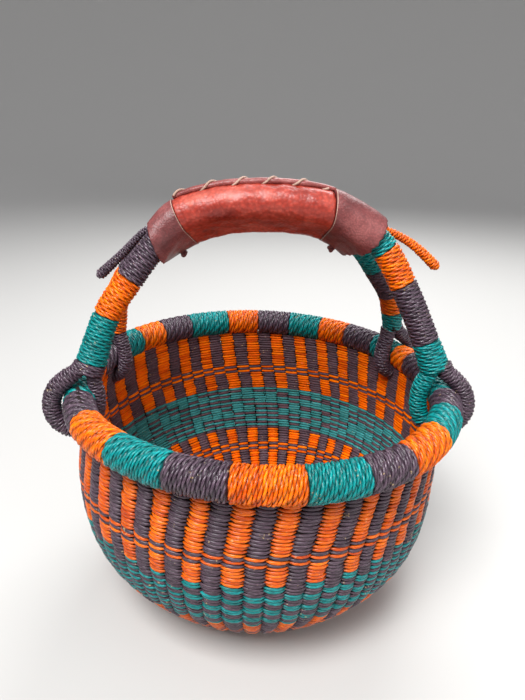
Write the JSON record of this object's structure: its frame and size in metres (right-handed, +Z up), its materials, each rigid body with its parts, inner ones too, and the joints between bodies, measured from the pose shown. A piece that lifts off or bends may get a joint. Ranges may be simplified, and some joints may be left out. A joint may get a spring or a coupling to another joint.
{
  "type": "market basket",
  "caption": "Small round twined straw basket with a thick wrapped rim roll and a double-arched handle whose leather-covered grip rocks a little on loops round the rim.",
  "frame": {"origin": "centre of the flat base", "axes": "+Z up; the handle's arches run along X; the front of the basket looks along -Y"},
  "size_m": [0.2721, 0.2572, 0.2812],
  "materials": {
    "straw_orange": "dyed twisted straw, satin",
    "straw_teal": "dyed twisted straw, satin",
    "straw_grey": "dyed twisted straw, satin",
    "straw_natural": "plain straw, matt",
    "leather_red": "glossy goat leather with grain",
    "leather_dark": "satin goat leather",
    "leather_pale": "raw thong"
  },
  "bodies": {
    "basket": {"stakes": "straw_natural", "base_outer_weave": "straw_orange", "teal_outer_weave": "straw_teal", "upper_outer_weave": "straw_orange", "base_inner_weave": "straw_orange", "wall_inner_weave": "straw_grey", "rim_core": "straw_natural", "rim_wrap_01_orange": "straw_orange", "rim_wrap_02_teal": "straw_teal", "rim_wrap_03_grey": "straw_grey", "rim_wrap_04_orange": "straw_orange", "rim_wrap_05_teal": "straw_teal", "rim_wrap_06_grey": "straw_grey", "rim_wrap_07_teal": "straw_teal", "rim_wrap_08_grey": "straw_grey", "rim_wrap_09_orange": "straw_orange", "rim_wrap_10_teal": "straw_teal", "rim_wrap_11_grey": "straw_grey", "rim_wrap_12_orange": "straw_orange", "rim_wrap_13_teal": "straw_teal", "rim_wrap_14_grey": "straw_grey", "rim_wrap_15_orange": "straw_orange", "rim_wrap_16_teal": "straw_teal", "rim_wrap_17_grey": "straw_grey", "rim_wrap_18_orange": "straw_orange", "rim_wrap_19_teal": "straw_teal", "rim_wrap_20_grey": "straw_grey", "rim_wrap_21_orange": "straw_orange", "rim_wrap_22_teal": "straw_teal", "rim_wrap_23_grey": "straw_grey", "rim_wrap_24_orange": "straw_orange", "rim_wrap_25_teal": "straw_teal", "rim_wrap_26_grey": "straw_grey"},
    "handle": {"front_left_loop": "straw_grey", "front_right_loop": "straw_grey", "back_left_loop": "straw_grey", "back_right_loop": "straw_grey", "front_arch_core": "straw_natural", "back_arch_core": "straw_natural", "front_left_teal_wrap": "straw_teal", "front_left_orange_wrap": "straw_orange", "front_left_grey_wrap": "straw_grey", "front_right_teal_wrap": "straw_teal", "front_right_orange_wrap": "straw_orange", "front_right_grey_wrap": "straw_grey", "front_right_teal_collar": "straw_teal", "back_left_orange_wrap": "straw_orange", "back_left_grey_wrap": "straw_grey", "back_right_teal_wrap": "straw_teal", "back_right_grey_wrap": "straw_grey", "back_right_orange_wrap": "straw_orange", "back_right_teal_collar": "straw_teal", "leather_sleeve": "leather_red", "left_cuff": "leather_dark", "right_cuff": "leather_dark", "seam_lacing": "leather_pale", "left_tail": "straw_grey", "right_tail": "straw_orange", "left_thong_end": "leather_dark", "right_thong_end": "leather_dark"}
  },
  "joints": [
    {"name": "handle_rock", "type": "hinge", "parent": "basket", "child": "handle", "pos_m": [0.00217, 0.01117, 0.14628], "axis": [0.9961, 0.0818, -0.0322], "range_deg": [-4, 4]}
  ]
}
